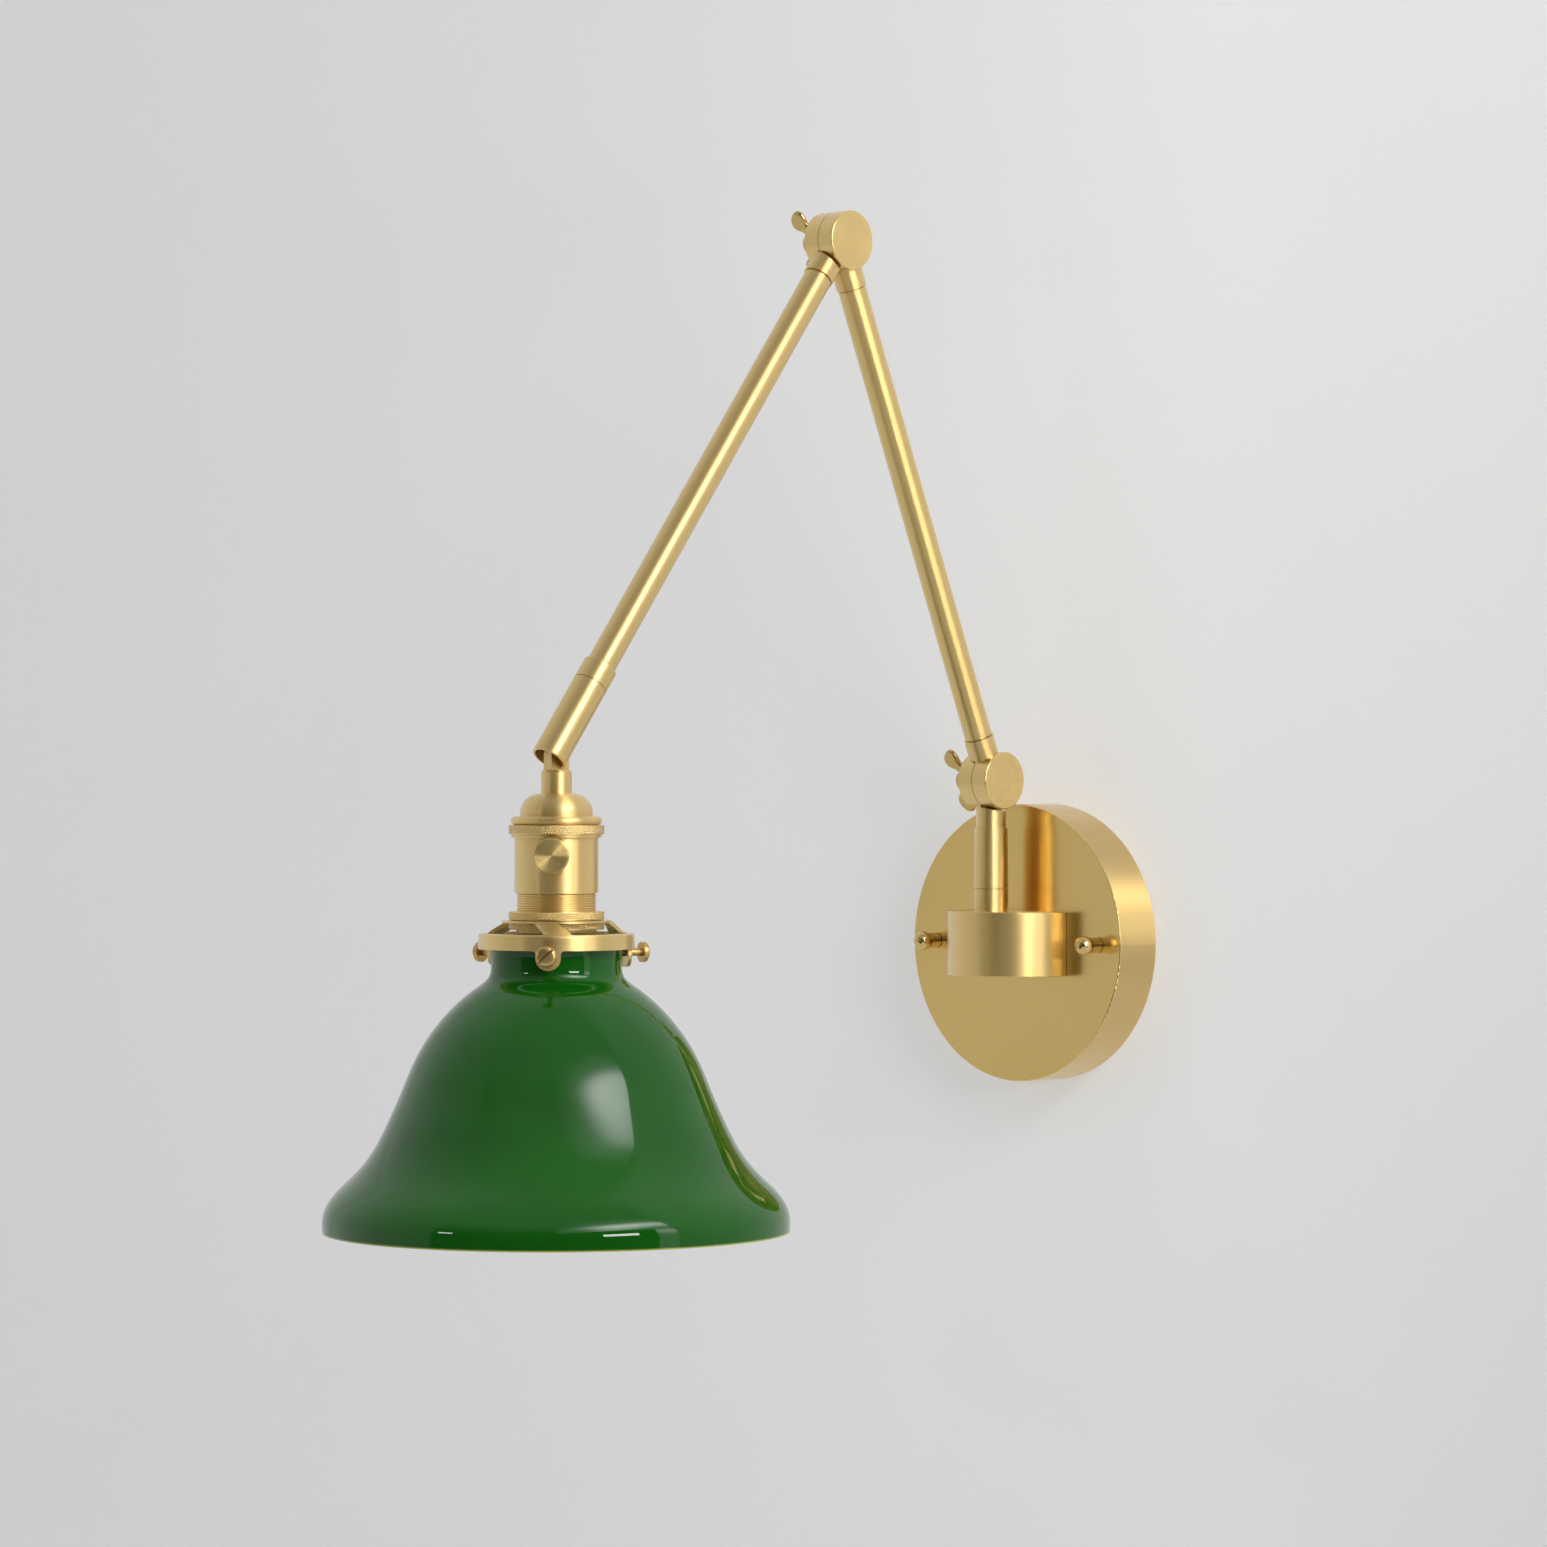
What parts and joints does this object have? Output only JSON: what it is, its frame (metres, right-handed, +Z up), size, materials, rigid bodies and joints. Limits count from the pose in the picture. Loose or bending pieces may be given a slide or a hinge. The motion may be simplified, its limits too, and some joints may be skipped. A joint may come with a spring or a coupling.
{
  "type": "swing arm wall lamp",
  "caption": "Wall lamp with a round canopy, a swivelling stem, two tube arms on wing nut knuckles and a tilting socket head under a bell-shaped glass shade.",
  "frame": {"origin": "centre of the crossbar's back, midway between the box screw slots, on the wall plane", "axes": "+Y into the wall, -Y out into the room, +Z up, +X to the right as seen from the room"},
  "size_m": [0.201, 0.4192, 0.4511],
  "materials": {
    "satin_brass": "satin, finely brushed",
    "turned_brass": "turned, semi-bright",
    "plated_steel": "zinc plated",
    "green_screw": "green passivated",
    "green_insulation": "plain insulation",
    "white_insulation": "plain insulation",
    "black_insulation": "plain insulation",
    "fibre_liner": "pressed fibre board",
    "socket_block": "moulded phenolic",
    "green_glass": "glossy cased glass, opaque green",
    "white_glass": "glossy opal lining"
  },
  "bodies": {
    "wall_base": {"canopy": "satin_brass", "crossbar": "plated_steel", "canopy_studs": "plated_steel", "stud_nuts": "plated_steel", "ground_screw": "green_screw", "ground_lead": "green_insulation", "boss": "satin_brass", "boss_screws": "plated_steel", "base_ferrule": "satin_brass", "base_nut": "plated_steel", "swivel_nut": "plated_steel", "supply_lead_left": "white_insulation", "supply_lead_right": "black_insulation"},
    "ball_nut_left": {"ball_nut_left": "turned_brass"},
    "ball_nut_right": {"ball_nut_right": "turned_brass"},
    "stem": {"stem_sleeve": "satin_brass", "stem_knuckle": "satin_brass", "wall_spring_washer": "plated_steel", "stem_leads": "black_insulation"},
    "wall_wing_nut": {"wall_wing_nut": "turned_brass"},
    "lower_arm": {"lower_arm_foot": "satin_brass", "lower_arm_tube": "satin_brass", "lower_arm_head": "satin_brass", "lower_arm_leads": "black_insulation", "wall_pivot_bolt": "plated_steel", "elbow_pivot_bolt": "plated_steel"},
    "upper_arm": {"upper_arm_knuckle": "satin_brass", "upper_arm_tube": "satin_brass", "upper_arm_collar": "satin_brass", "upper_arm_leads": "black_insulation", "elbow_spring_washer": "plated_steel", "collar_nut": "plated_steel"},
    "elbow_wing_nut": {"elbow_wing_nut": "turned_brass"},
    "head_sleeve": {"head_sleeve": "satin_brass", "tilt_pin": "turned_brass"},
    "head": {"head_tongue": "satin_brass", "neck_nut": "plated_steel", "socket_cap": "satin_brass", "cap_ring": "satin_brass", "socket_shell": "satin_brass", "shell_liner": "fibre_liner", "socket_core": "socket_block", "screw_shell": "turned_brass", "centre_contact": "turned_brass", "switch_bushing": "turned_brass", "gallery": "satin_brass", "shade_glass": "green_glass", "shade_lining": "white_glass"},
    "switch_knob": {"switch_knob": "turned_brass", "switch_shaft": "turned_brass"},
    "upper_shade_ring": {"upper_shade_ring": "satin_brass"},
    "lower_shade_ring": {"lower_shade_ring": "satin_brass"},
    "gallery_screw_front": {"gallery_screw_front": "turned_brass"},
    "gallery_screw_right": {"gallery_screw_right": "turned_brass"},
    "gallery_screw_left": {"gallery_screw_left": "turned_brass"}
  },
  "joints": [
    {"name": "stem_pan", "type": "hinge", "parent": "wall_base", "child": "stem", "pos_m": [0, -0.042, 0.03], "axis": [0, 0, 1], "range_deg": [-20, 75]},
    {"name": "wall_knuckle_tilt", "type": "hinge", "parent": "stem", "child": "lower_arm", "pos_m": [0, -0.042, 0.0761], "axis": [1, 0, 0], "range_deg": [-22.5, 85]},
    {"name": "elbow_tilt", "type": "hinge", "parent": "lower_arm", "child": "upper_arm", "pos_m": [0, -0.14452, 0.32046], "axis": [-1, 0, 0], "range_deg": [0, 150]},
    {"name": "head_swivel", "type": "hinge", "parent": "upper_arm", "child": "head_sleeve", "pos_m": [0, -0.31874, 0.09177], "axis": [0, 0.606, 0.7955], "range_deg": [-165, 165]},
    {"name": "head_tilt", "type": "hinge", "parent": "head_sleeve", "child": "head", "pos_m": [0, -0.31874, 0.09177], "axis": [1, 0, 0], "range_deg": [-37, 50]},
    {"name": "switch_turn", "type": "hinge", "parent": "head", "child": "switch_knob", "pos_m": [0, -0.31874, 0.04447], "axis": [0.6691, -0.7431, 0], "continuous": true},
    {"name": "wall_wing_nut_turn", "type": "hinge", "parent": "stem", "child": "wall_wing_nut", "pos_m": [0, -0.042, 0.0761], "axis": [-1, 0, 0], "range_deg": [0, 180]},
    {"name": "elbow_wing_nut_turn", "type": "hinge", "parent": "upper_arm", "child": "elbow_wing_nut", "pos_m": [0, -0.14452, 0.32046], "axis": [-1, 0, 0], "range_deg": [0, 180]},
    {"name": "ball_nut_left_turn", "type": "hinge", "parent": "wall_base", "child": "ball_nut_left", "pos_m": [-0.0508, -0.03, 0], "axis": [0, -1, 0], "continuous": true},
    {"name": "ball_nut_right_turn", "type": "hinge", "parent": "wall_base", "child": "ball_nut_right", "pos_m": [0.0508, -0.03, 0], "axis": [0, -1, 0], "continuous": true},
    {"name": "upper_ring_turn", "type": "hinge", "parent": "head", "child": "upper_shade_ring", "pos_m": [0, -0.31874, 0.01647], "axis": [0, 0, 1], "continuous": true},
    {"name": "lower_ring_turn", "type": "hinge", "parent": "head", "child": "lower_shade_ring", "pos_m": [0, -0.31874, 0.01647], "axis": [0, 0, 1], "continuous": true},
    {"name": "gallery_screw_front_draw", "type": "slide", "parent": "head", "child": "gallery_screw_front", "axis": [0.6534, -0.757, 0], "range_m": [0, 0.003]},
    {"name": "gallery_screw_right_draw", "type": "slide", "parent": "head", "child": "gallery_screw_right", "axis": [0.3289, 0.9444, 0], "range_m": [0, 0.003]},
    {"name": "gallery_screw_left_draw", "type": "slide", "parent": "head", "child": "gallery_screw_left", "axis": [-0.9823, -0.1874, 0], "range_m": [0, 0.003]}
  ]
}
